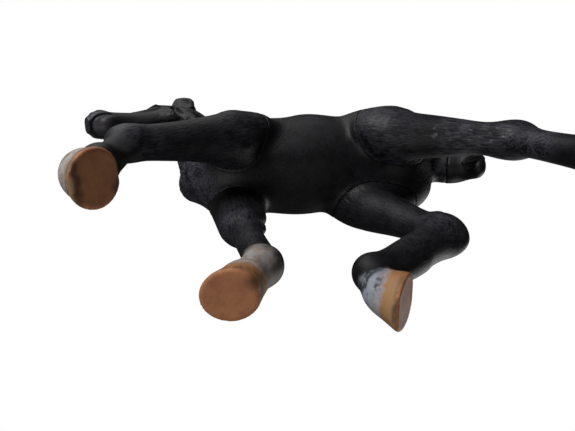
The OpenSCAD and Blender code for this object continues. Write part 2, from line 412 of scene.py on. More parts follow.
def hoof(leg, size, toe_out):
    """A hoof of a relative size, with its toe drawn out by some millimetres."""
    base, axes = leg["sole"], (leg["ahead"], leg["side"], leg["up"])

    def distance(x, y, z):
        p = [x - base[0], y - base[1], z - base[2]]
        u, v, w = (p[0] * a[0] + p[1] * a[1] + p[2] * a[2] for a in axes)
        t = np.clip(w / HOOF_HEIGHT, 0, 1)
        u = u + HOOF_SET_BACK * t - 0.1
        toe = np.where(u > 0, toe_out, -0.1)
        half_length = size * (HOOF_SOLE[0] + toe + (HOOF_TOP[0] - toe - HOOF_SOLE[0]) * t)
        half_width = size * (HOOF_SOLE[1] + (HOOF_TOP[1] - HOOF_SOLE[1]) * t)
        # a cleft parts the two bulbs of the heel, and the sole is dished inside the wall
        heel = np.clip(-u / half_length - 0.55, 0, 1)
        around = np.sqrt((u / half_length) ** 2 + (v / half_width) ** 2)
        around = around + heel * np.exp(-(v / CLEFT) ** 2) * 0.25
        wall = (around - 1) * half_width
        dish = DISH * np.clip(1 - (around / 0.85) ** 2, 0, 1)
        return soft_max(wall, np.maximum(dish - w, w - HOOF_HEIGHT - 0.2), 0.5)

    return base - 4.2, base + 4.2, distance


polish(0.45)
for name in LEGS:
    add(hoof(LEG[name], HOOF_SIZE.get(name, 1), HOOF_TOE.get(name, TOE_OUT)), 0.3)
print("hooves about", round(2 * HOOF_SOLE[0], 1), "mm long and", round(2 * HOOF_SOLE[1], 1), "mm wide")

# %% [markdown]
# The head is one loft with given widths and depths, from the domed forehead of a foal to its small
# muzzle. Cheeks, brows, nostrils, lips and chin are added in the head's own directions: forward along
# the face, left, and up out of the forehead.

# %% Head and neck
POLL = spot("head_and_neck", 0.47, 0.68, 0.79)
TIP = spot("head_and_neck", 0.985, 0.77, 0.375)
FACE = unit(TIP - POLL)
LEFT = unit(np.cross(Z, FACE))
BROW = np.cross(FACE, LEFT)
HEAD_AXES = (FACE, LEFT, BROW)
FACE_LENGTH = np.linalg.norm(TIP - POLL)
MOUTH = (0.93, 0, -1.35)
MOUTH_NORMAL = unit(BROW - FACE * 0.08)


def face(t, left, above):
    """t runs from poll (0) to muzzle (1); left and above are millimetres from the axis."""
    return POLL + FACE * t * FACE_LENGTH + LEFT * left + BROW * above


add(loft(face(-0.06, 0, 0), face(1, 0, 0), LEFT, (
    (0, 1.2, 1.2, 1.6), (0.06, 2.1, 2.4, 3), (0.16, 2.7, 3.2, 4.4), (0.28, 2.9, 3.4, 4.9),
    (0.4, 2.6, 3.1, 4.4), (0.52, 2.05, 2.6, 3.5), (0.66, 1.65, 2.2, 2.7), (0.78, 1.8, 2, 2.4),
    (0.88, 2.35, 2, 2.3), (0.95, 2.2, 1.7, 2), (1, 1.3, 0.8, 1.2))), 1.2)
add(rod(face(0.1, 0, 2.4), face(0.34, 0, 2.3), 1.2, 1), 1.2)
add(rod(face(0.34, 0, 2.1), face(0.84, 0, 1.2), 0.9, 0.7), 0.8)
for s in (-1, 1):
    add(blob(face(0.22, 1.6 * s, -1.8), (4.2, 1.6, 3.3), HEAD_AXES), 0.8)
    add(blob(face(0.345, 2.15 * s, 1.25), (3.1, 1.2, 1.5), HEAD_AXES), 0.7)
    add(rod(face(0.4, 2.7 * s, -0.6), face(0.6, 1.9 * s, -0.3), 0.5, 0.25), 0.5)
    add(blob(face(0.885, 1.75 * s, 0.45), (1.6, 0.95, 1.15), HEAD_AXES), 0.5)
    add(blob(face(0.87, 0.9 * s, -0.7), (2, 1.5, 1), HEAD_AXES), 0.4)
    cut(blob(face(0.09, 3 * s, -2.4), (1.3, 0.6, 2.8), (FACE - BROW * 0.4, LEFT, BROW)), 1.4)
    cut(blob(face(0.5, 2.6 * s, 1.1), (3.4, 0.7, 0.8), HEAD_AXES), 0.9)
add(blob(face(0.84, 0, -2), (2, 1.75, 1.1), HEAD_AXES), 0.35)
cut(blob(face(0.45, 0, -4.6), (4.5, 0.8, 0.9), HEAD_AXES), 0.9)
cut(blob(face(*MOUTH), (3.3, 3.4, 0.13), (FACE + BROW * 0.08, LEFT, BROW)), 0.2)

EYE = {s: face(0.36, 2.68 * s, 0.75) for s in (-1, 1)}
for s in (-1, 1):
    cut(blob(EYE[s] + LEFT * 0.35 * s, (1.25, 0.7, 0.72), HEAD_AXES), 0.3)
    add(rod(face(0.3, 2.66 * s, 1.2), face(0.355, 3.01 * s, 1.72), 0.3, 0.34), 0.35)
    add(rod(face(0.355, 3.01 * s, 1.72), face(0.415, 2.71 * s, 1.25), 0.34, 0.28), 0.35)
    add(rod(face(0.305, 2.66 * s, 0.45), face(0.41, 2.61 * s, 0.05), 0.24, 0.24), 0.3)
    nostril_axes = (FACE * 0.8 + BROW * 0.6, LEFT, BROW * 0.8 - FACE * 0.6)
    cut(blob(face(0.915, 2.3 * s, 0.45), (0.85, 0.6, 0.42), nostril_axes), 0.3)

# four places up the middle of the neck, and the line of its crest from withers to poll
NECK = [cut_centre("head_and_neck", h) for h in (0.66, 0.72, 0.78, 0.84)]
crest = [trunk(0.78, 0, 1.0), NECK[1] - X * 4.6 + Z * 2.2, NECK[2] - X * 4.4 + Z * 2.4,
         NECK[3] - X * 3.6 + Z * 3, face(0.02, 0, 2)]
for a, b in zip(crest, crest[1:]):
    add(rod(a - Z * 0.9, b - Z * 0.9, 1.5, 1.2), 1.6)
for s in (-1, 1):
    add(rod(NECK[0] + X * 3.4 + Y * 2.6 * s, face(0.16, 1.6 * s, -4), 1.7, 1), 1.2)
    cut(rod(NECK[0] + X * 3.6 + Y * 5.6 * s, NECK[3] + X * 1.4 + Y * 4 * s, 0.8, 0.5), 1)
print("face", round(float(FACE_LENGTH), 1), "mm from poll to muzzle")

# %% [markdown]
# An ear is a leaf that widens above its root and runs to a point, turned outwards and hollowed on that
# side. The same loft that makes the head makes it, from a few stations.

# %% Ears
EAR_ROOT = {}
for s in (-1, 1):
    EAR_ROOT[s] = face(0.02, 2 * s, 1.6)
    tip = np.array((EAR_ROOT[s][0] + 3.4, POLL[1] + 4.1 * s, HEIGHT_MM - 0.1))
    run = unit(tip - EAR_ROOT[s])
    flat = unit(np.cross(run, Y * s + X * 0.5))
    hollow = unit(np.cross(run, flat))
    if np.dot(hollow, Y * s) < 0:
        hollow = -hollow
    add(loft(EAR_ROOT[s] - run * 0.8, tip, flat, (
        (0, 1.3, 1.2, 1.2), (0.2, 1.7, 1.1, 1.1), (0.42, 2.4, 1, 1), (0.62, 2.45, 0.85, 0.85),
        (0.82, 1.75, 0.6, 0.6), (0.93, 1, 0.45, 0.45), (1, 0.3, 0.25, 0.25))), 0.5)
    cut(blob(between(EAR_ROOT[s], tip, 0.54) + hollow * 0.85, (1.7, 0.72, 2.6), (flat, hollow, run)), 0.25)

# %% [markdown]
# Under the locks the tail has a solid core. It is thick where it leaves the croup, and cut back behind, so
# that it hangs close to the buttocks.

# %% Core of the tail
add(blob(spot("tail", 0.52, 0.5, 0.6) + (0.6, -0.8, -1.4), (4.4, 3.1, 5)), 1.8)
cut(blob(spot("tail", 0, 0, 0.4) - (0.9, 0.9, 0), (3.8, 3.6, 8)), 1.6)

print(len(RECIPE), "shapes in the recipe")

# %% [markdown]
# The CAD mouldings are melted together first. A soft blur takes away the flats of their lofts, as fine
# paper does on a master model, and then the recipe is worked into them.

# %% Melt and sculpt
# millimetres that each moulding is thinned by before the melt; how softly they run together; how far
# the melt is blurred
SLIM = {"torso": 0, "tail": 0.3, "head_and_neck": 0.4}
LEG_SLIM = 0.05
MELT = 1.8
MELT_BLUR = 0.55
BOX_LOW = np.array(cad_box[0]) / MM - 3
BOX_HIGH = np.array(cad_box[1]) / MM + 3


def blur(values, sigma):
    """Softens a field with a short bell-shaped kernel, one direction after another."""
    reach = int(math.ceil(2.5 * sigma))
    weights = np.exp(-0.5 * (np.arange(-reach, reach + 1) / sigma) ** 2)
    weights = (weights / weights.sum()).astype(np.float32)
    for axis in range(3):
        size = values.shape[axis]
        padded = np.pad(values, [(reach, reach) if k == axis else (0, 0) for k in range(3)], "edge")
        out = np.zeros_like(values)
        for k, weight in enumerate(weights):
            part = [slice(None)] * 3
            part[axis] = slice(k, k + size)
            out += weight * padded[tuple(part)]
        values = out
    return values


def sculpt(field):
    """Works the recipe into the melted mouldings and gives each moulding's own distances."""
    own = {name: field.moulding(name) for name in NODES}
    skin = None
    for name in NODES:
        slim = own[name] + np.float32(SLIM.get(name, LEG_SLIM))
        skin = slim if skin is None else soft_min(skin, slim, np.float32(MELT))
    skin = blur(skin, MELT_BLUR / field.step)
    for mix, sign, shape, blend in RECIPE:
        if shape is None:
            skin = blur(skin, blend / field.step)
            continue
        low, high, distance = shape
        where, at = field.window(low - blend, high + blend)
        if min(w.stop - w.start for w in where) > 0:
            tool = (sign * distance(*at)).astype(np.float32)
            skin[where] = mix(skin[where], tool, blend)
    # nothing reaches below the ground
    where, at = field.window(BOX_LOW, BOX_HIGH)
    skin[where] = np.maximum(skin[where], -at[2])
    field.values = skin
    return own


# %% [markdown]
# The finished whole is cut back into its seven mouldings, halfway between each of them and the ones it
# meets, so the welds show as fine lines, as on the real figurine.

# %% Cut each moulding out of the whole
SEAM = -0.012  # the mouldings overlap by a hair, so no light shows through a weld


def draw(field, own, name):
    """The closed skin of one moulding, cut from the whole halfway between it and its neighbours."""
    where = field.window(BOX[name][0] - 2, BOX[name][1] + 2)[0]
    rest = np.full(field.values[where].shape, FAR, np.float32)
    for other in own:
        if other != name:
            rest = np.minimum(rest, own[other][where])
    split = (own[name][where] - rest) / 2 + SEAM
    solid = soft_max(field.values[where], split, np.float32(0.05))
    solid = np.pad(solid, 1, constant_values=FAR)
    grid = openvdb.FloatGrid(FAR)
    grid.transform = openvdb.createLinearTransform(field.step)
    first = [int(f + w.start - 1) for f, w in zip(field.first, where)]
    grid.copyFromArray(np.ascontiguousarray(solid.astype(np.float32)), ijk=tuple(first))
    points, _, quads = grid.convertToPolygons(0.0, 0.0)
    return points, quads


def biggest_part(points, quads):
    """Keeps the one connected shell and drops stray crumbs."""
    label = np.arange(len(points))
    while True:
        least = label[quads].min(1)
        new = label.copy()
        for k in range(quads.shape[1]):
            np.minimum.at(new, quads[:, k], least)
        new = new[new]
        if (new == label).all():
            break
        label = new
    ids, counts = np.unique(label[quads[:, 0]], return_counts=True)
    quads = quads[label[quads[:, 0]] == ids[counts.argmax()]]
    used, inverse = np.unique(quads, return_inverse=True)
    return points[used], inverse.reshape(quads.shape)


# %% Mesh objects
def put_in_scene(name, data):
    """A new object in the scene, at the origin."""
    piece = bpy.data.objects.new(name, data)
    bpy.context.scene.collection.objects.link(piece)
    return piece


def make_piece(name, points, faces):
    """A smooth-shaded closed mesh with its faces outwards."""
    mesh = bpy.data.meshes.new(name)
    mesh.from_pydata((points * MM).tolist(), [], faces)
    corners = np.array([face_[:3] for face_ in faces])
    p = (points - points.mean(0))[corners]
    if np.einsum("ij,ij->i", p[:, 0], np.cross(p[:, 1], p[:, 2])).sum() < 0:
        mesh.flip_normals()
    mesh.shade_smooth()
    return put_in_scene(name, mesh)


# %% Draw the seven skins
LEG_TOP = BOX["right_hind_leg"][1][2] + 2
# the mouldings drawn together, the step of their grid, and its two corners
GRIDS = (
    (("torso",), 0.24, BOX["torso"][0] - 3, BOX["torso"][1] + 3),
    (LEGS, 0.17, np.append(BOX_LOW[:2], -1), np.append(BOX_HIGH[:2], LEG_TOP)),
    (("head_and_neck",), 0.15, BOX["head_and_neck"][0] - 2.5, BOX["head_and_neck"][1] + 2.5),
    (("tail",), 0.17, BOX["tail"][0] - 2.5, BOX["tail"][1] + 2.5),
)
SKIN = {}
for names, step, low, high in GRIDS:
    field = Field(low, high, step)
    own = sculpt(field)
    for name in names:
        points, quads = biggest_part(*draw(field, own, name))
        SKIN[name] = make_piece(name + "_skin", points, quads.tolist())
        print(name, len(quads) * 2, "triangles", np.round(points.min(0), 1), np.round(points.max(0), 1))
    print("done at", round(time.time() - started, 1), "s")

# %% [markdown]
# The coat is carved, not grown: the sculptor scratches short wavy strokes into the master, deepest on
# chest, neck, buttock and thigh, and none on the belly, the joints and the face. Here the finished skin is
# pressed in by a stretched noise, so the strokes are real relief that catches the light.

# %% Hair strokes in the skin
TILE = 32
DICE = np.random.default_rng(7).random((TILE, TILE, TILE)).astype(np.float32)


def lumps(q):
    """Smooth random values from 0 to 1 at points q, one lump per unit."""
    cell = np.floor(q).astype(int)
    f = q - cell
    f = f * f * (3 - 2 * f)
    total = 0
    for corner in np.ndindex(2, 2, 2):
        weight = abs(1 - np.array(corner) - f).prod(1)
        total = total + weight * DICE[tuple(((cell + corner) % TILE).T)]
    return total


def strokes(p, along, length, width):
    """Wavy strokes that run along a direction: 0 between hairs, 1 on a hair."""
    along = unit(along)
    across = unit(np.cross(along, Y + 0.01 * X))
    third = np.cross(along, across)
    wave = (np.c_[lumps(p / 3.1 + 3), lumps(p / 2.7 + 11)] - 0.5) * 2.6
    q = np.c_[p @ along / length, (p @ across + wave[:, 0]) / width, (p @ third + wave[:, 1]) / width]
    ridge = 1 - abs(2 * lumps(q) - 1)
    fine = 1 - abs(2 * lumps(q * (1.7, 2.1, 2.1) + 5) - 1)
    return 0.65 * ridge + 0.35 * fine


def near(p, centre, inner, outer):
    """1 within the inner radius of a place, fading to 0 at the outer one."""
    t = np.clip((outer - np.linalg.norm(p - centre, axis=1)) / (outer - inner), 0, 1)
    return t * t * (3 - 2 * t)


# %% Where the hair is carved, and how deep
DEEPEST = 0.5


def carve(piece, depth_of):
    """Presses the skin in by the depth, in millimetres, that a rule gives for its points."""
    mesh = piece.data
    co = np.empty(len(mesh.vertices) * 3, np.float32)
    normal = np.empty_like(co)
    mesh.vertices.foreach_get("co", co)
    mesh.vertices.foreach_get("normal", normal)
    p, normal = co.reshape(-1, 3) / MM, normal.reshape(-1, 3)
    depth = np.clip(depth_of(p.astype(float)), 0, DEEPEST)
    mesh.vertices.foreach_set("co", ((p - normal * depth[:, None]) * MM).astype(np.float32).ravel())
    mesh.update()
    print(piece.name, "carved up to", round(float(depth.max()), 2), "mm")


def trunk_hair(p):
    chest = near(p, trunk(1, 0, 0.35), 3, 11)
    rump = near(p, trunk(0.02, 0, 0.45), 3, 11)
    back = np.clip((p[:, 2] - trunk(0, 0, 0.55)[2]) / 8, 0, 1) * 0.35
    depth = np.maximum(np.maximum(chest, rump * 0.9), back)
    lean = strokes(p, (-0.75, 0, -0.65), 2.6, 0.62)
    drop = strokes(p, (0.25, 0, -1), 2.6, 0.62)
    mixed = np.where(chest > 0.02, drop * chest + lean * (1 - chest), lean)
    return 0.27 * depth * (1 - mixed)


def neck_hair(p):
    below = np.clip((NECK[3][2] + 1 - p[:, 2]) / 6, 0, 1)
    behind = np.clip((NECK[3][0] + 5 - p[:, 0]) / 3, 0, 1)
    return 0.24 * below * behind * (1 - strokes(p, (-0.35, 0, -1), 2.4, 0.6))


def leg_hair(leg):
    """Deep on the right legs, and fine on the left ones, which are rubbed smooth."""
    deep = 0.13 if leg["outward"] > 0 else 0.3
    along = leg["middle"] - leg["upper"]
    top = leg["upper"] - unit(along) * (5 if leg["hind"] else 4)

    def depth(p):
        amount = near(p, top, 3.5, 10.5 if leg["hind"] else 9.5)
        return deep * amount * (1 - strokes(p, along - X * 4, 2.8, 0.55))

    return depth


carve(SKIN["torso"], trunk_hair)
carve(SKIN["head_and_neck"], neck_hair)
for name in LEGS:
    carve(SKIN[name], leg_hair(LEG[name]))

# %% [markdown]
# A shader is easier to read as arithmetic than as a drawing of wires. One small class stands for a value
# in a node tree, and adding or multiplying such values lays the Math nodes. The same class serves the
# hair trees further down, because shaders and Geometry Nodes are wired alike.

# %% Node arithmetic
class Wire:
    """A value in a node tree; sums and products of wires become Math nodes."""

    def __init__(self, tree, socket):
        self.tree, self.socket = tree, socket

    def math(self, operation, *values):
        return self.tree.node("ShaderNodeMath", {"operation": operation}, dict(enumerate(values)))

    def __add__(self, other):
        return self.math("ADD", self, other)

    def __sub__(self, other):
        return self.math("SUBTRACT", self, other)

    def __rsub__(self, other):
        return self.math("SUBTRACT", other, self)

    def __mul__(self, other):
        return self.math("MULTIPLY", self, other)

    def __truediv__(self, other):
        return self.math("DIVIDE", self, other)

    def __pow__(self, other):
        return self.math("POWER", self, other)

    def __abs__(self):
        return self.math("ABSOLUTE", self)

    __radd__ = __add__
    __rmul__ = __mul__


class Tree:
    """A node tree whose nodes are all laid by one method."""

    def __init__(self, tree):
        self.tree = tree
        self.tree.nodes.clear()

    def node(self, kind, settings, inputs, out=0):
        """Lays a node: settings are its properties, inputs are values or wires, out is the output."""
        made = self.tree.nodes.new(kind)
        for key, value in settings.items():
            setattr(made, key, value)
        for key, value in inputs.items():
            if isinstance(value, Wire):
                self.tree.links.new(value.socket, made.inputs[key])
            else:
                made.inputs[key].default_value = value
        return Wire(self, made.outputs[out]) if made.outputs else None

    def vector(self, operation, inputs, out=0):
        return self.node("ShaderNodeVectorMath", {"operation": operation}, inputs, out)


# %% Shaders
PLASTIC = {"IOR": 1.5, "Specular IOR Level": 0.32}


class Shader(Tree):
    """A material that reads places in millimetres."""

    def __init__(self, name):
        self.material = bpy.data.materials.new(name)
        self.material.use_nodes = True
        super().__init__(self.material.node_tree)
        point = self.node("ShaderNodeTexCoord", {}, {}, "Object")
        self.place = self.node("ShaderNodeMapping", {}, {"Vector": point, "Scale": (1 / MM,) * 3})

    def noise(self, size, detail=3.0, stretch=(1, 1, 1), turn=(0, 0, 0), shift=(0, 0, 0)):
        """Cloudy values around 0.5; size is one cloud in millimetres, stretch drags it out."""
        turned = self.node("ShaderNodeMapping", {"vector_type": "TEXTURE"},
                           {"Vector": self.place, "Rotation": turn})
        scaled = self.node("ShaderNodeMapping", {}, {
            "Vector": turned, "Scale": tuple(1 / (size * k) for k in stretch), "Location": shift})
        return self.node("ShaderNodeTexNoise", {}, {
            "Vector": scaled, "Scale": 1.0, "Detail": detail, "Roughness": 0.55})

    def fade(self, value, start, end):
        """0 at start, 1 at end, smooth between."""
        return self.node("ShaderNodeMapRange", {"interpolation_type": "SMOOTHSTEP"}, {
            "Value": value, "From Min": start, "From Max": end, "To Min": 0.0, "To Max": 1.0})

    def mix(self, amount, first, second):
        """Colour between first (0) and second (1)."""
        return self.node("ShaderNodeMix", {"data_type": "RGBA"}, {0: amount, 6: first, 7: second}, 2)

    def away_from(self, centre):
        """Millimetres from a place."""
        return self.vector("DISTANCE", {0: self.place, 1: tuple(centre)}, "Value")

    def along(self, direction, start):
        """Millimetres along a direction, from a place."""
        dot = self.vector("DOT_PRODUCT", {0: self.place, 1: tuple(direction)}, "Value")
        return dot - float(np.dot(direction, start))

    def bump(self, height, depth, under=None):
        """A bumped normal; depth is in millimetres."""
        inputs = {"Height": height, "Strength": 1.0, "Distance": depth * MM}
        if under:
            inputs["Normal"] = under
        return self.node("ShaderNodeBump", {}, inputs, "Normal")

    def finish(self, surface):
        self.node("ShaderNodeOutputMaterial", {}, {"Surface": surface})
        return self.material

    def paint(self, base, rough, **inputs):
        """Ends the material as painted plastic of a colour and roughness."""
        names = {key.replace("_", " "): value for key, value in inputs.items()}
        return self.finish(self.node("ShaderNodeBsdfPrincipled", {}, {
            "Base Color": base, "Roughness": rough, **PLASTIC, **names}))


def colour(red, green, blue):
    """A paint-chart colour from 0 to 255, as the light-linear numbers that a shader wants."""
    def linear(c):
        c = c / 255
        return c / 12.92 if c < 0.04045 else ((c + 0.055) / 1.055) ** 2.4
    return (linear(red), linear(green), linear(blue), 1.0)


# %% [markdown]
# The coat is black plastic under a thin satin lacquer. It is never one flat black: clouds of soot and grey
# vary it, rubbed patches shine more, and greyed places on the chest, the buttock and the legs are partly
# worn lacquer and partly painted highlight.

# %% Black coat
BLACK = colour(20, 18, 22)
SOOT = colour(9, 8, 11)
# pale grey of the rubbed patches, and of the greyed places: partly worn lacquer, partly painted highlight
RUBBED_AND_HIGHLIGHT = colour(82, 80, 89)


def coat(shader, hair_turn, hair=(3.2, 0.5, 0.5), worn_and_highlit=(), bald=()):
    """Colour, roughness and normal of the black coat, with hair drawn along a turned direction.
    Greyed places are (centre, radius in mm, how far the black is greyed), greyed as worn lacquer and as
    painted highlight, and no hair is drawn at the bald ones."""
    cloud = shader.noise(9.0, 3.0)
    grime = shader.noise(1.6, 4.0)
    hairs = shader.noise(0.5, 2.0, hair, hair_turn)
    down = shader.noise(0.2, 2.0, hair, hair_turn, (3, 1, 7))
    rubbed = shader.fade(cloud + (hairs - 0.5) * 0.4, 0.52, 0.8)
    base = shader.mix(shader.fade(grime, 0.35, 0.65), SOOT, BLACK)
    base = shader.mix(rubbed * 0.14, base, RUBBED_AND_HIGHLIGHT)
    streaks = shader.fade(hairs * 0.6 + grime * 0.4, 0.4, 0.62)
    hairy = 0.4
    # each greyed place lightens the black along the hair strokes: worn lacquer and painted highlight
    for centre, reach, greying in worn_and_highlit:
        distance = shader.away_from(centre) + (grime - 0.5) * reach * 0.5
        place = 1 - shader.fade(distance, reach * 0.35, reach)
        base = shader.mix(place * streaks * greying, base, RUBBED_AND_HIGHLIGHT)
        hairy = place * 0.6 + hairy
    for centre in bald:
        hairy = hairy * shader.fade(shader.away_from(centre), 3.6, 6.0)
    rough = 0.5 + (grime - 0.5) * 0.16 + (0.5 - cloud) * 0.24
    normal = shader.bump(down, 0.02, shader.bump(hairs * hairy, 0.1))
    return base, rough, normal


def black_coat(name, hair_turn, hair=(3.2, 0.5, 0.5), worn_and_highlit=()):
    shader = Shader(name)
    base, rough, normal = coat(shader, hair_turn, hair, worn_and_highlit)
    return shader.paint(base, rough, Normal=normal)


# %% [markdown]
# The feet are painted over the black: a white sock blown on by airbrush, so that it thins out into
# specks and faint patches of black, a tan horn wall brushed on by hand, a browner sole, and a dark line
# of painted shade along the edge between wall and sole.

# %% Airbrushed sock
SOCK = colour(186, 186, 190)
SOCK_COOL = colour(158, 168, 186)
SOCK_WARM = colour(158, 136, 116)
# pale grey of the chips on the left gaskin: partly rubbed lacquer, partly painted highlight
SCUFF_AND_SHEEN = colour(118, 116, 124)
# for each sock: how far its middle is moved up the pastern and ahead, where it starts and ends to
# fade, how much of it is bare black, how white it is, and how far down the wall the white drifts
SOCKS = {
    "left_foreleg": (0.2, 1.7, 1.6, 3.6, 0.2, 1.0, -2.9),
    "right_foreleg": (1.9, 0.1, 2.4, 5.2, 0.1, 0.68, -0.9),
    "left_hind_leg": (0.6, 1.0, 1.8, 4.0, 0.6, 0.8, -1.4),
    "right_hind_leg": (0.8, 2.2, 1.6, 4.4, 0.8, 0.75, -0.8),
}


def worn_and_highlit_places(leg):
    """Top, lower half, joint and shin of a leg, where the black is greyed as worn lacquer and as painted
    highlight; the left legs, which face the key light, get more, and the left hind leg most of all.
    """
    top = leg["upper"] - unit(leg["middle"] - leg["upper"]) * 2
    lower = between(leg["upper"], leg["middle"], 0.6)
    shin = between(leg["middle"], leg["fetlock"], 0.45)
    left, hind = leg["outward"] > 0, leg["hind"]
    top_greying, lower_greying, shin_greying = 0.05, 0.1, 0.15
    if left:
        top_greying = 0.55 if hind else 0.25
    if left and hind:
        lower_greying, shin_greying = 0.8, 0.7
    return (top, 8.5, top_greying), (lower, 6, lower_greying), (leg["middle"], 5, 0.5), (shin, 6, shin_greying)


def scuffs_and_sheen(shader, base, leg, lean):
    """The colour with pale chips along the lower edge of the gaskin, where the lacquer is rubbed; the chips
    are also painted highlight.
    """
    chips = shader.noise(0.6, 3.0, (2.2, 1, 1), (0, lean, 0), (2, 0, 1))
    for t in (0.3, 0.62, 0.85):
        place = shader.away_from(between(leg["upper"], leg["middle"], t) - Z * 2.4 + Y * 0.8)
        chip_and_sheen = (1 - shader.fade(place, 0.8, 2.6)) * shader.fade(chips, 0.55, 0.66)
        base = shader.mix(chip_and_sheen * 0.6, base, SCUFF_AND_SHEEN)
    return base


def sock_on(shader, base, leg, row, fine, patch):
    """The colour with the sock sprayed on it, how much sock there is, and the white it is made of."""
    raised, moved, start, end, bareness, whiteness = row[:6]
    middle = leg["coronet"] + leg["up"] * raised + leg["ahead"] * moved
    spread = shader.away_from(middle) + (patch - 0.5) * 3 + (fine - 0.5) * 1.2
    bare = shader.fade(patch + (fine - 0.5) * 0.5, 0.5, 0.64)
    sock = (1 - shader.fade(spread, start, end)) * (1 - bare * bareness)
    white = shader.mix(shader.fade(fine, 0.3, 0.7), SOCK_COOL if leg["hind"] else SOCK_WARM, SOCK)
    return shader.mix(sock * whiteness, base, white), sock, white


# %% Horn and sole
HORN = colour(150, 106, 68)
HORN_PALE = colour(166, 128, 90)
SOLE = colour(186, 126, 86)
SOLE_DEEP = colour(170, 110, 75)
# dark brown of the spot at the heel and of the painted shade along the edge of the sole
LINE = colour(62, 42, 32)


def horn_wall(shader, leg, patch):
    """The brushed tan of the wall, paler to the toe, with upright streaks."""
    ahead = shader.along(leg["ahead"], leg["sole"])
    streak = shader.noise(0.5, 2.0, (1, 1, 4))
    horn = shader.mix(shader.fade(ahead + (patch - 0.5) * 4, -0.5, 3.0), HORN, HORN_PALE)
    return shader.mix(shader.fade(streak, 0.5, 0.8) * 0.3, horn, SOLE)


def sole_on(shader, base, leg, inside, fine, patch):
    """The colour with the sole brushed on it, a dark spot at the heel, and painted shade along its edge."""
    from_ground = shader.along(leg["up"], leg["sole"])
    under = (1 - shader.fade(from_ground + (fine - 0.5) * 0.2, 0.12, 0.4)) * inside
    sole = shader.mix(shader.fade(patch + (fine - 0.5) * 0.3, 0.35, 0.7), SOLE, SOLE_DEEP)
    inward = 0 if leg["hind"] else -leg["outward"] * 1.3
    heel = leg["sole"] - leg["ahead"] * 2.1 + leg["side"] * inward
    spot_ = 1 - shader.fade(shader.away_from(heel) + (fine - 0.5) * 0.8, 0.1, 1.2)
    sole = shader.mix(spot_ * 0.75, sole, LINE)
    if leg is LEG["left_foreleg"]:
        # the wall's paint slops over the toe of this sole and ends in a dark line of painted shade
        ahead = shader.along(leg["ahead"], leg["sole"])
        toe_reach = ahead + (patch - 0.5) * 1.6 + (fine - 0.5) * 0.4
        sole = shader.mix((1 - shader.fade(abs(toe_reach - 2.4), 0.05, 0.75)) * 0.7, sole, LINE)
        under = under * (1 - shader.fade(toe_reach, 2.45, 2.95))
    base = shader.mix(under, base, sole)
    # a dark band of painted shade low on the wall, along the edge of the sole
    wide, dark = (0.38, 0.45) if leg["hind"] else (0.62, 0.85)
    rim = 1 - shader.fade(abs(from_ground - wide * 1.15 + (fine - 0.5) * 0.2), 0.05, wide)
    edge_shade = rim * shader.fade(patch + (fine - 0.5) * 0.4, 0.36, 0.6) * inside
    return shader.mix(edge_shade * dark, base, LINE)


# %% A painted leg
def painted_leg(name, leg):
    shader = Shader("painted_" + name)
    along = unit(leg["middle"] - leg["upper"])
    lean = math.atan2(-along[2], along[0])
    bald = leg["sole"] + leg["up"]
    # the black of the leg is greyed in places: partly worn lacquer, partly painted highlight
    base, rough, normal = coat(shader, (0, lean, 0), worn_and_highlit=worn_and_highlit_places(leg), bald=(bald,))
    # pale chips on the gaskin of this leg: rubbed lacquer and painted highlight
    if name == "left_hind_leg":
        base = scuffs_and_sheen(shader, base, leg, lean)
    fine = shader.noise(0.55, 4.0)
    patch = shader.noise(1.9, 3.0, shift=(leg["outward"] * 3.0, 5.0 if leg["hind"] else 1.0, 0))
    base, sock, white = sock_on(shader, base, leg, SOCKS[name], fine, patch)
    whiteness, drift = SOCKS[name][5:]
    inside = 1 - shader.fade(shader.away_from(leg["sole"] + leg["up"] * 1.6), 4.3, 4.6)
    above = shader.along(leg["up"], leg["coronet"]) + (fine - 0.5) * 0.9 + (patch - 0.5) * 1.2
    wall = (1 - shader.fade(above, -0.7, 0.5)) * inside
    overspray = shader.fade(above, drift, drift * 0.25) * (0.86 * whiteness)
    base = shader.mix(wall, base, shader.mix(overspray, horn_wall(shader, leg, patch), white))
    base = sole_on(shader, base, leg, inside, fine, patch)
    painted = wall + (1 - wall) * sock
    rough = rough * (1 - painted) + (0.62 + (fine - 0.5) * 0.2) * painted
    return shader.paint(base, rough, Normal=normal, Specular_IOR_Level=0.3)


# %% [markdown]
# The head is the coat again, with fine hair that runs down the face, and a greyer, smoother muzzle where
# the skin of a foal is nearly bare. A dark line is drawn where the lips meet.

# %% Head paint
MUZZLE = colour(58, 55, 61)


def head_paint():
    shader = Shader("head_coat")
    lean = math.atan2(-FACE[2], FACE[0])
    base, rough, normal = coat(shader, (0, lean, 0), (2.4, 0.55, 0.55))
    fine = shader.noise(0.5, 4.0)
    nose = shader.away_from(face(0.98, 0, -0.8)) + (fine - 0.5) * 1.2
    bare = 1 - shader.fade(nose, 2.2, 4.6)
    base = shader.mix(bare * 0.75, base, MUZZLE)
    lips = abs(shader.along(MOUTH_NORMAL, face(*MOUTH)))
    seam = (1 - shader.fade(lips, 0.1, 0.4)) * bare
    base = shader.mix(seam * 0.8, base, SOOT)
    return shader.paint(base, rough - bare * 0.05, Normal=normal)


# %% Give the skins their paint
PAINT = {
    # the lower chest and the lower right buttock are greyed: partly worn lacquer, partly painted highlight
    "torso": black_coat("trunk_coat", (0, math.radians(40), 0), worn_and_highlit=(
        (trunk(0.97, -0.2, 0.15), 9, 0.8), (trunk(0.08, -0.5, 0.2), 7, 0.55))),
    "tail": black_coat("tail_coat", (0, math.radians(80), 0), (6, 0.5, 0.5)),
    "head_and_neck": head_paint(),
}
for name in LEGS:
    PAINT[name] = painted_leg(name, LEG[name])
for name, piece in SKIN.items():
    piece.data.materials.append(PAINT[name])
print(len(PAINT), "paints")

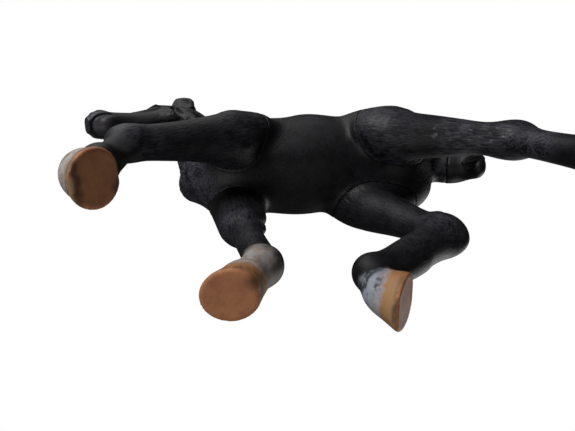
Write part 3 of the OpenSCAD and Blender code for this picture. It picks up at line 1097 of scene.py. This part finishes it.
# %% [markdown]
# Each eye is a glossy bead set in its socket: a flattened ball a little longer than it is tall, dark
# brown with a darker level pupil, under a clear drop of varnish.

# %% Eyes
IRIS_DARK = colour(30, 18, 12)
IRIS_LIGHT = colour(52, 32, 20)
PUPIL = colour(6, 6, 7)
LID = colour(10, 9, 10)


def eye_paint(name, centre):
    shader = Shader(name + "_varnish")
    fine = shader.noise(0.25, 3.0)
    level = shader.along(FACE, centre)
    tall = shader.along(BROW, centre)
    ring = (level * level * 0.6 + tall * tall * 2.2 + (fine - 0.5) * 0.1) ** 0.5
    iris = shader.mix(shader.fade(fine, 0.3, 0.7), IRIS_DARK, IRIS_LIGHT)
    base = shader.mix(shader.fade(ring, 0.36, 0.5), PUPIL, iris)
    base = shader.mix(shader.fade(ring, 0.72, 0.9), base, LID)
    return shader.paint(base, 0.1 + (fine - 0.5) * 0.06, Specular_IOR_Level=0.5, Coat_Weight=0.8,
                        Coat_Roughness=0.04)


def bead(name, centre, axes, radii, rings=24, around=40):
    """A closed ball with its own three radii."""
    theta = np.linspace(0, math.pi, rings + 1)[1:-1]
    phi = np.linspace(0, 2 * math.pi, around, endpoint=False)
    ball = [(math.sin(t) * math.cos(f), math.sin(t) * math.sin(f), math.cos(t)) for t in theta for f in phi]
    ball = np.array([(0, 0, 1), *ball, (0, 0, -1)])
    last = len(ball) - 1
    faces = []
    for j in range(around):
        k = (j + 1) % around
        faces.append((0, 1 + j, 1 + k))
        for a in range(1, last - around, around):
            faces.append((a + j, a + around + j, a + around + k, a + k))
        faces.append((last - around + j, last, last - around + k))
    return make_piece(name, centre + (ball * radii) @ np.array(axes), faces)


EYES = []
for s, name in ((1, "left_eye"), (-1, "right_eye")):
    eye = bead(name, EYE[s] - LEFT * 0.55 * s, (FACE, BROW, LEFT * s), (1.05, 0.74, 0.95))
    eye.data.materials.append(eye_paint(name, EYE[s]))
    EYES.append(eye)
    print(name, "at", np.round(EYE[s], 1))

# %% [markdown]
# The tail is a bundle of locks round a core. Each lock follows the tail's own line, so Geometry Nodes
# copy that line, push each copy out by its own angle, taper it and give it thickness. A moulded lock is
# fused to its neighbours, so the locks overlap and only their backs stand proud.

# %% Node trees for hair
class HairTree(Tree):
    """A Geometry Nodes tree with named inputs."""

    def __init__(self, name, sizes):
        super().__init__(bpy.data.node_groups.new(name, "GeometryNodeTree"))
        panel = self.tree.interface
        panel.new_socket("Geometry", in_out="INPUT", socket_type="NodeSocketGeometry")
        for label, value in sizes.items():
            kind = "NodeSocketInt" if isinstance(value, int) else "NodeSocketFloat"
            panel.new_socket(label, in_out="INPUT", socket_type=kind).default_value = value
        panel.new_socket("Material", in_out="INPUT", socket_type="NodeSocketMaterial")
        panel.new_socket("Geometry", in_out="OUTPUT", socket_type="NodeSocketGeometry")
        given = self.tree.nodes.new("NodeGroupInput").outputs
        self.inputs = {socket.name: Wire(self, socket) for socket in given if socket.name}

    def times(self, vector, number):
        return self.vector("SCALE", {0: vector, "Scale": number})

    def dice(self, low, high, shift, **chosen_by):
        """A random number for each point, or for each value that chooses it."""
        return self.node("FunctionNodeRandomValue", {"data_type": "FLOAT"}, {
            2: low, 3: high, "Seed": self.inputs["Seed"] + float(shift), **chosen_by}, 1)

    def tube(self, curve, radius, sides):
        """A closed tube of a varying radius round a curve."""
        ring = self.node("GeometryNodeCurvePrimitiveCircle", {"mode": "RADIUS"},
                         {"Resolution": sides, "Radius": 1.0})
        return self.node("GeometryNodeCurveToMesh", {}, {
            "Curve": curve, "Profile Curve": ring, "Scale": radius, "Fill Caps": True})

    def end(self, geometry):
        real = self.node("GeometryNodeRealizeInstances", {}, {"Geometry": geometry})
        smooth = self.node("GeometryNodeSetShadeSmooth", {}, {"Geometry": real})
        painted = self.node("GeometryNodeSetMaterial", {}, {
            "Geometry": smooth, "Material": self.inputs["Material"]})
        self.node("NodeGroupOutput", {}, {0: painted})
        return self.tree


def grow(name, path, tree, material, **sizes):
    """Runs a hair tree on a line of points and keeps the result as a plain mesh."""
    line = bpy.data.curves.new(name + "_line", "CURVE")
    line.dimensions = "3D"
    spline = line.splines.new("POLY")
    spline.points.add(len(path) - 1)
    for point, place in zip(spline.points, path):
        point.co = (*(np.asarray(place) * MM), 1)
    guide = put_in_scene(name + "_guide", line)
    modifier = guide.modifiers.new("hair", "NODES")
    modifier.node_group = tree
    values = {**sizes, "Material": material}
    for item in tree.interface.items_tree:
        if item.in_out == "INPUT" and item.name in values:
            modifier[item.identifier] = values[item.name]
    bpy.context.view_layer.update()
    graph = bpy.context.evaluated_depsgraph_get()
    mesh = bpy.data.meshes.new_from_object(guide.evaluated_get(graph), depsgraph=graph)
    mesh.name = name
    bpy.data.objects.remove(guide)
    print(name, len(mesh.polygons), "faces")
    return put_in_scene(name, mesh)


def smooth_line(points, count):
    """A rounded line through a few points."""
    points = np.array(points, float)
    run = np.r_[0, np.cumsum(np.linalg.norm(np.diff(points, axis=0), axis=1))]
    t = np.linspace(0, run[-1], count)
    line = np.c_[tuple(np.interp(t, run, points[:, k]) for k in range(3))]
    for _ in range(max(2, count // 8)):
        line[1:-1] = (line[:-2] + 2 * line[1:-1] + line[2:]) / 4
    return line


# %% Tail locks
GOLDEN_ANGLE = 2.39996  # turns each lock away from the one before it


def lock_tree():
    tree = HairTree("tail_locks", {
        "Locks": 40, "Thickness": 0.0005, "Fullness": 0.002, "Twist": 1.0, "Seed": 3})
    get = tree.inputs
    copies = tree.node("GeometryNodeDuplicateElements", {"domain": "SPLINE"},
                       {"Geometry": get["Geometry"], "Amount": get["Locks"]})
    number = Wire(tree, copies.socket.node.outputs["Duplicate Index"])
    index = tree.node("GeometryNodeStoreNamedAttribute", {"data_type": "INT", "domain": "CURVE"},
                      {"Geometry": copies, "Name": "lock", "Value": number})
    lock = tree.node("GeometryNodeInputNamedAttribute", {"data_type": "INT"}, {"Name": "lock"})
    t = tree.node("GeometryNodeSplineParameter", {}, {}, "Factor")
    angle = lock * GOLDEN_ANGLE + tree.dice(-0.4, 0.4, 1, ID=lock)
    angle = angle + t * (get["Twist"] * tree.dice(-1.0, 1.2, 2, ID=lock))
    swell = (t * 4.0 * (1.0 - t)) ** 0.55
    depth = get["Fullness"] * tree.dice(0.62, 1.0, 3, ID=lock) * (swell * 0.85 + 0.1)
    normal = tree.node("GeometryNodeInputNormal", {}, {})
    tangent = tree.node("GeometryNodeInputTangent", {}, {})
    side = tree.vector("CROSS_PRODUCT", {0: tangent, 1: normal})
    offset = tree.vector("ADD", {0: tree.times(normal, depth * angle.math("COSINE", angle)),
                                 1: tree.times(side, depth * angle.math("SINE", angle))})
    moved = tree.node("GeometryNodeSetPosition", {}, {"Geometry": index, "Offset": offset})
    root = t.math("MINIMUM", t * 6.0 + 0.35, 1.0)
    taper = ((1.0 - t) ** 0.6 + 0.06) * root
    radius = get["Thickness"] * tree.dice(0.6, 1.25, 4, ID=lock) * taper
    return tree.end(tree.tube(moved, radius, 7))


TAIL_HEIGHTS = (0.64, 0.6, 0.56, 0.52, 0.48)
tail_line = smooth_line([
    spot("tail", 0.97, 0.5, 0.92), spot("tail", 0.66, 0.5, 0.93),
    *(cut_centre("tail", h) for h in TAIL_HEIGHTS), spot("tail", 0.66, 0.5, 0.12)], 26)
tail_line[:, 1] += np.linspace(0.1, 0.9, len(tail_line))
tail_locks = grow("tail_locks", tail_line, lock_tree(), PAINT["tail"], Locks=46, Thickness=0.62 * MM,
                  Fullness=1.8 * MM, Twist=0.6)

# %% [markdown]
# A foal's mane is a short brush. One bent, pointed tuft is modelled, and Geometry Nodes set copies of it
# along the crest of the neck, each leaning its own way, and carry on over the poll as the forelock.

# %% Mane
def mane_tree():
    tree = HairTree("mane_tufts", {
        "Tufts": 90, "Length": 0.003, "Thickness": 0.0004, "Spread": 0.6, "Seed": 5})
    get, dice = tree.inputs, tree.dice
    roots = tree.node("GeometryNodeResampleCurve", {}, {"Curve": get["Geometry"], "Count": get["Tufts"]})
    bend = tree.node("GeometryNodeCurveQuadraticBezier", {}, {
        "Resolution": 7, "Start": (0, 0, -0.25), "Middle": (0.05, 0, 0.5), "End": (0.5, 0, 0.95)})
    t = tree.node("GeometryNodeSplineParameter", {}, {}, "Factor")
    tuft = tree.tube(bend, get["Thickness"] / get["Length"] * ((1.0 - t) ** 0.7 + 0.08), 6)
    tangent = tree.node("GeometryNodeInputTangent", {}, {})
    left = tree.vector("NORMALIZE", {0: tree.vector("CROSS_PRODUCT", {0: (0.0, 0.0, 1.0), 1: tangent})})
    out = tree.vector("CROSS_PRODUCT", {0: tangent, 1: left})
    out = tree.vector("ADD", {0: out, 1: tree.times(left, get["Spread"] * dice(-1.0, 1.0, 1))})
    way = tree.vector("ADD", {0: out, 1: tree.times(tangent, dice(-0.75, -0.3, 2))})
    tilt = tree.node("FunctionNodeAlignRotationToVector", {"axis": "Z"}, {"Vector": way})
    spin = tree.node("FunctionNodeAxisAngleToRotation", {}, {
        "Axis": (0.0, 0.0, 1.0), "Angle": dice(-0.7, 0.7, 3)})
    turned = tree.node("FunctionNodeRotateRotation", {"rotation_space": "LOCAL"}, {
        "Rotation": tilt, "Rotate By": spin})
    sideways = tree.times(left, get["Thickness"] * dice(-2.2, 2.2, 4))
    placed = tree.node("GeometryNodeSetPosition", {}, {"Geometry": roots, "Offset": sideways})
    size = get["Length"] * dice(0.7, 1.1, 5) * t.math("MINIMUM", t * 4.0 + 0.45, 1.0)
    return tree.end(tree.node("GeometryNodeInstanceOnPoints", {}, {
        "Points": placed, "Instance": tuft, "Rotation": turned, "Scale": size}))


poll_top = EAR_ROOT[1] * 0.5 + EAR_ROOT[-1] * 0.5
mane_line = smooth_line([
    face(0.2, 0, 3.1), face(0.08, 0, 3.3), poll_top - X * 2 + Z * 0.4,
    *(p + Z * 0.3 for p in crest[3:0:-1]), crest[0] + X * 0.5], 40)
mane = grow("mane_tufts", mane_line, mane_tree(), PAINT["torso"], Tufts=150, Length=2.6 * MM,
            Thickness=0.42 * MM, Spread=0.75)

# %% [markdown]
# Every piece of a stiff figurine rides on the one body. The skins take the place of the CAD mouldings of
# the same name, which are hidden, and the eyes, mane and tail locks ride on the body with them.

# %% Put each piece on the body
SLOT = {"torso": "body_plastic", "head_and_neck": "head_plastic", "tail": "tail_plastic"}
for name, piece in SKIN.items():
    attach(piece, "root")
    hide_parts(name)
    SLOT.get(name, "leg_plastic")
for piece in (tail_locks, mane, *EYES):
    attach(piece, "root")
print(len(SKIN), "skins,", len(EYES), "eyes, tail locks and mane on the body")

# %% [markdown]
# The stage is a pale floor at hoof height. The chosen view looks up at the figure from under it, so the
# floor is plain paper from above and open from below, as if the figure stood on glass. The paper glows
# faintly, so that it stays pale where the lamps don't reach.

# %% Floor
LENGTH = cad_box[1][0] - cad_box[0][0]
MIDDLE = [(a + b) / 2 for a, b in zip(*cad_box)]
FLOOR_REACH = LENGTH * 9
FLOOR_GAP = 0.05 * MM
floor_mesh = bpy.data.meshes.new("floor")
corners = [(MIDDLE[0] + i * FLOOR_REACH, MIDDLE[1] + j * FLOOR_REACH, cad_box[0][2] - FLOOR_GAP)
           for i, j in ((-1, -1), (1, -1), (1, 1), (-1, 1))]
floor_mesh.from_pydata(corners, [], [(0, 1, 2, 3)])
floor = put_in_scene("floor", floor_mesh)
paper = Shader("pale_floor")
grain = paper.noise(14.0, 3.0)
sheet = paper.node("ShaderNodeBsdfPrincipled", {}, {
    "Base Color": paper.mix(grain, colour(150, 149, 148), colour(158, 157, 156)), "Roughness": 0.8,
    "Emission Color": colour(214, 213, 211), "Emission Strength": 1.0})
clear = paper.node("ShaderNodeBsdfTransparent", {}, {"Color": (1, 1, 1, 1)})
underside = paper.node("ShaderNodeNewGeometry", {}, {}, "Backfacing")
floor_mesh.materials.append(paper.finish(paper.node("ShaderNodeMixShader", {}, {
    0: underside, 1: sheet, 2: clear})))
floor.visible_shadow = False
floor.visible_diffuse = False
floor.visible_glossy = False
floor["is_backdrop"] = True

# %% [markdown]
# The light is soft and plain: a pale room, a large key from the foal's left and front and a little below,
# a weak one from straight below, a high one on the left for the views from above, and one from the right
# and behind for the side that the key leaves dark. No lamp stands straight behind the figure as the
# camera sees it, because black lacquer would then shine white along its outline.

# %% Light
from mathutils import Matrix, Vector

world = bpy.data.worlds.new("studio")
bpy.context.scene.world = world
world.use_nodes = True
studio = Tree(world.node_tree)
seen = studio.node("ShaderNodeLightPath", {}, {}, "Is Camera Ray")
room = studio.node("ShaderNodeBackground", {}, {"Color": (0.93, 0.96, 1, 1), "Strength": 0.05})
sky = studio.node("ShaderNodeBackground", {}, {"Color": (1, 1, 1, 1)})
both = studio.node("ShaderNodeMixShader", {}, {0: seen, 1: room, 2: sky})
studio.node("ShaderNodeOutputWorld", {}, {"Surface": both})


def softbox(name, direction, distance, size, power, tint=(1, 1, 1)):
    """An area light that looks at the middle of the figure; lengths are in figure lengths."""
    lamp = bpy.data.lights.new(name, "AREA")
    lamp.size = size * LENGTH
    lamp.energy = power * LENGTH ** 2
    lamp.color = tint
    aim = Vector(direction).normalized()
    place = Matrix.Translation(Vector(MIDDLE) + aim * distance * LENGTH)
    box = put_in_scene(name, lamp)
    box.matrix_world = place @ aim.to_track_quat("Z", "Y").to_matrix().to_4x4()
    box.visible_camera = False
    print(name, "power", round(lamp.energy, 3), "W")


softbox("key_light", (0.45, 0.9, -0.14), 3.2, 1.6, 84)
softbox("low_light", (0.35, -0.2, -1), 4, 2.2, 47, (1, 0.98, 0.96))
softbox("top_light", (0.35, 1, 0.75), 3.4, 2.2, 22)
softbox("rear_light", (-1, -0.9, 0.4), 3.6, 2, 34)

# %% [markdown]
# The camera looks up from under the belly, nearly straight, with the head to the left. Its place is given
# by the direction, the distance in figure heights and the roll.

# %% Camera
VIEW_AZIMUTH, VIEW_ELEVATION, VIEW_ROLL = 168.5, -71.86, -13.8
VIEW_DISTANCE = 1.127
AIM = (0.49, 0.079, 0.53)  # the point looked at, as fractions of the frame's box
LENS, SENSOR = 29.73, 36
a, e = math.radians(VIEW_AZIMUTH), math.radians(VIEW_ELEVATION)
back = Vector((math.sin(a) * math.cos(e), -math.cos(a) * math.cos(e), math.sin(e)))
right = Matrix.Rotation(math.radians(VIEW_ROLL), 3, back) @ Vector((math.cos(a), math.sin(a), 0))
aim = Vector([low + (high - low) * f for low, high, f in zip(*cad_box, AIM)])
placed = Matrix((right, back.cross(right), back)).transposed().to_4x4()
placed.translation = aim + back * VIEW_DISTANCE * (cad_box[1][2] - cad_box[0][2])
camera = bpy.data.cameras.new("camera")
camera.sensor_width = SENSOR
camera.lens = LENS
camera.clip_start = 0.002
camera_object = put_in_scene("camera", camera)
camera_object.matrix_world = placed
bpy.context.scene.camera = camera_object
bpy.context.scene.view_settings.view_transform = "Standard"
print("camera at", [round(v / MM, 1) for v in placed.translation], "mm")

shown = [list(corner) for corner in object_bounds()]
print("visual box", shown, "in", round(time.time() - started, 1), "s")
